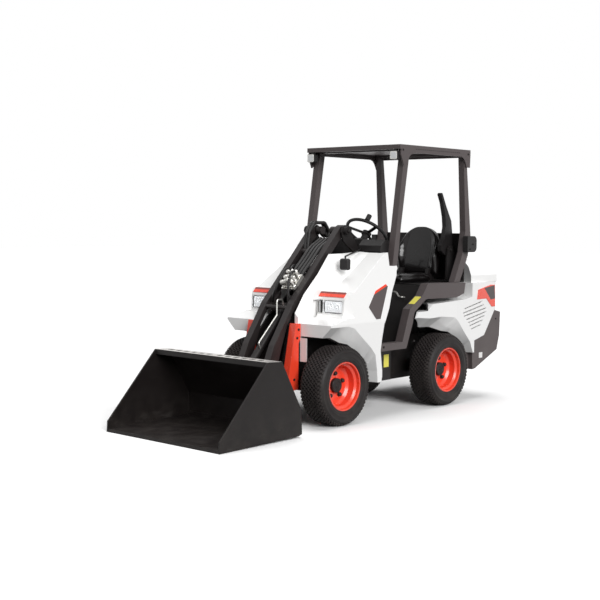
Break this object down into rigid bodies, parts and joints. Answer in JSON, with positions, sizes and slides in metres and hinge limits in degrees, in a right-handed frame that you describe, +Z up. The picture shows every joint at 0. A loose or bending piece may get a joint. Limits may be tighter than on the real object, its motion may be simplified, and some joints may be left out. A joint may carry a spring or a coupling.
{
  "type": "compact wheel loader",
  "caption": "Small articulated wheel loader with a twin-beam lift arm, flat-bottomed bucket and a four-post canopy.",
  "frame": {"origin": "bottom centre of the machine's box, on the ground", "axes": "+X forward towards the bucket, +Y the machine's left, +Z up"},
  "size_m": [3.441, 1.13, 2.07],
  "materials": {
    "dark_frame": "satin",
    "black_metal": "satin",
    "white_body": "gloss",
    "white_metal": "gloss",
    "accent_red": "gloss",
    "clear_lens": "gloss",
    "black_plastic": "matte",
    "seat_vinyl": "satin",
    "tyre_rubber": "matte",
    "chromed_rod": "gloss",
    "plated_steel": "satin",
    "hose_rubber": "matte",
    "engine_cast": "matte"
  },
  "bodies": {
    "front_frame": {"tower_plates": "black_metal", "front_chassis": "black_metal", "front_axle": "black_metal", "front_body": "white_body", "headlamps": "clear_lens", "accent_stripes": "accent_red", "body_badges": "dark_frame", "platform": "black_metal", "side_frames": "dark_frame", "canopy_frame": "dark_frame", "roof": "dark_frame", "work_lamps": "black_plastic", "seat_base": "black_metal", "seat_cushion": "seat_vinyl", "seat_back": "seat_vinyl", "dash_cowl": "black_plastic", "steering_column": "black_plastic", "mirror": "black_plastic", "console": "black_plastic", "rear_panel": "black_metal", "post_housings": "black_plastic", "nose_guards": "accent_red"},
    "rear_frame": {"rear_chassis": "black_metal", "rear_axle": "black_metal", "engine_block": "engine_cast", "rear_body": "white_body", "counterweight": "dark_frame", "tail_badges": "dark_frame", "tail_accents": "accent_red", "rear_grille": "black_metal"},
    "hood": {"engine_hood": "white_body"},
    "wheel_fl": {"tyre_front_left": "tyre_rubber", "rim_front_left": "accent_red"},
    "wheel_fr": {"tyre_front_right": "tyre_rubber", "rim_front_right": "accent_red"},
    "wheel_rl": {"tyre_rear_left": "tyre_rubber", "rim_rear_left": "accent_red"},
    "wheel_rr": {"tyre_rear_right": "tyre_rubber", "rim_rear_right": "accent_red"},
    "steering": {"steering_wheel": "black_plastic"},
    "restraint": {"restraint_bar": "black_plastic"},
    "arm": {"lift_arm": "dark_frame", "coupler_bracket": "dark_frame", "hydraulic_couplers": "plated_steel", "arm_hoses": "hose_rubber"},
    "attachment": {"coupler": "black_metal", "bucket": "black_metal"},
    "lift_barrel": {"lift_cylinder_barrel": "black_metal"},
    "lift_rod": {"lift_cylinder_rod": "chromed_rod"},
    "tilt_barrel": {"tilt_cylinder_barrel": "black_metal", "tilt_line": "plated_steel"},
    "tilt_rod": {"tilt_cylinder_rod": "chromed_rod"},
    "steer_barrel": {"steer_cylinder_barrel": "black_metal"},
    "steer_rod": {"steer_cylinder_rod": "chromed_rod"}
  },
  "joints": [
    {"name": "articulation", "type": "hinge", "parent": "front_frame", "child": "rear_frame", "pos_m": [-0.2515, 0, 0.35], "axis": [0, 0, 1], "range_deg": [-40, 40]},
    {"name": "wheel_fl_spin", "type": "hinge", "parent": "front_frame", "child": "wheel_fl", "pos_m": [0.402, 0.415, 0.292], "axis": [0, 1, 0], "continuous": true},
    {"name": "wheel_fr_spin", "type": "hinge", "parent": "front_frame", "child": "wheel_fr", "pos_m": [0.402, -0.415, 0.292], "axis": [0, 1, 0], "continuous": true},
    {"name": "wheel_rl_spin", "type": "hinge", "parent": "rear_frame", "child": "wheel_rl", "pos_m": [-0.905, 0.415, 0.292], "axis": [0, 1, 0], "continuous": true},
    {"name": "wheel_rr_spin", "type": "hinge", "parent": "rear_frame", "child": "wheel_rr", "pos_m": [-0.905, -0.415, 0.292], "axis": [0, 1, 0], "continuous": true},
    {"name": "lift", "type": "hinge", "parent": "front_frame", "child": "arm", "pos_m": [0.0165, 0, 1.412], "axis": [0, -1, 0], "range_deg": [0, 90]},
    {"name": "tilt", "type": "hinge", "parent": "arm", "child": "attachment", "pos_m": [0.8565, 0, 0.15], "axis": [0, -1, 0], "range_deg": [-100, 25]},
    {"name": "lift_barrel_swing", "type": "hinge", "parent": "front_frame", "child": "lift_barrel", "pos_m": [0.5185, 0, 0.28], "axis": [0, -1, 0], "range_deg": [-10.45, 0.05]},
    {"name": "lift_rod_slide", "type": "slide", "parent": "lift_barrel", "child": "lift_rod", "axis": [-0.2478, 0, 0.9688], "range_m": [-0.0005, 0.5294]},
    {"name": "tilt_barrel_swing", "type": "hinge", "parent": "arm", "child": "tilt_barrel", "pos_m": [0.4935, 0, 0.85], "axis": [0, -1, 0], "range_deg": [-3.7, 0.96]},
    {"name": "tilt_rod_slide", "type": "slide", "parent": "tilt_barrel", "child": "tilt_rod", "axis": [0.675, 0, -0.7379], "range_m": [-0.0778, 0.3098]},
    {"name": "steer_barrel_swing", "type": "hinge", "parent": "front_frame", "child": "steer_barrel", "pos_m": [0.1785, 0.115, 0.41], "axis": [0, 0, 1], "range_deg": [-2.55, 2.55]},
    {"name": "steer_rod_slide", "type": "slide", "parent": "steer_barrel", "child": "steer_rod", "axis": [-1, 0, 0], "range_m": [-0.0773, 0.0773]},
    {"name": "steering_wheel_turn", "type": "hinge", "parent": "front_frame", "child": "steering", "pos_m": [-0.4715, 0, 1.388], "axis": [-0.6429, 0, 0.7659], "continuous": true},
    {"name": "restraint_swing", "type": "hinge", "parent": "front_frame", "child": "restraint", "pos_m": [-1.1865, 0.278, 1.249], "axis": [0, 1, 0], "range_deg": [0, 85]},
    {"name": "hood_open", "type": "hinge", "parent": "rear_frame", "child": "hood", "pos_m": [-1.6595, 0, 0.986], "axis": [0, -1, 0], "range_deg": [0, 60]}
  ],
  "couplings": [
    {"joint": "lift_barrel_swing", "follows": "lift", "ratio": -0.1156},
    {"joint": "lift_rod_slide", "follows": "lift", "m_per_rad": 0.3367},
    {"joint": "tilt_barrel_swing", "follows": "tilt", "ratio": 0.0365},
    {"joint": "tilt_rod_slide", "follows": "tilt", "m_per_rad": -0.1772},
    {"joint": "steer_barrel_swing", "follows": "articulation", "ratio": 0.0625},
    {"joint": "steer_rod_slide", "follows": "articulation", "m_per_rad": 0.11}
  ]
}
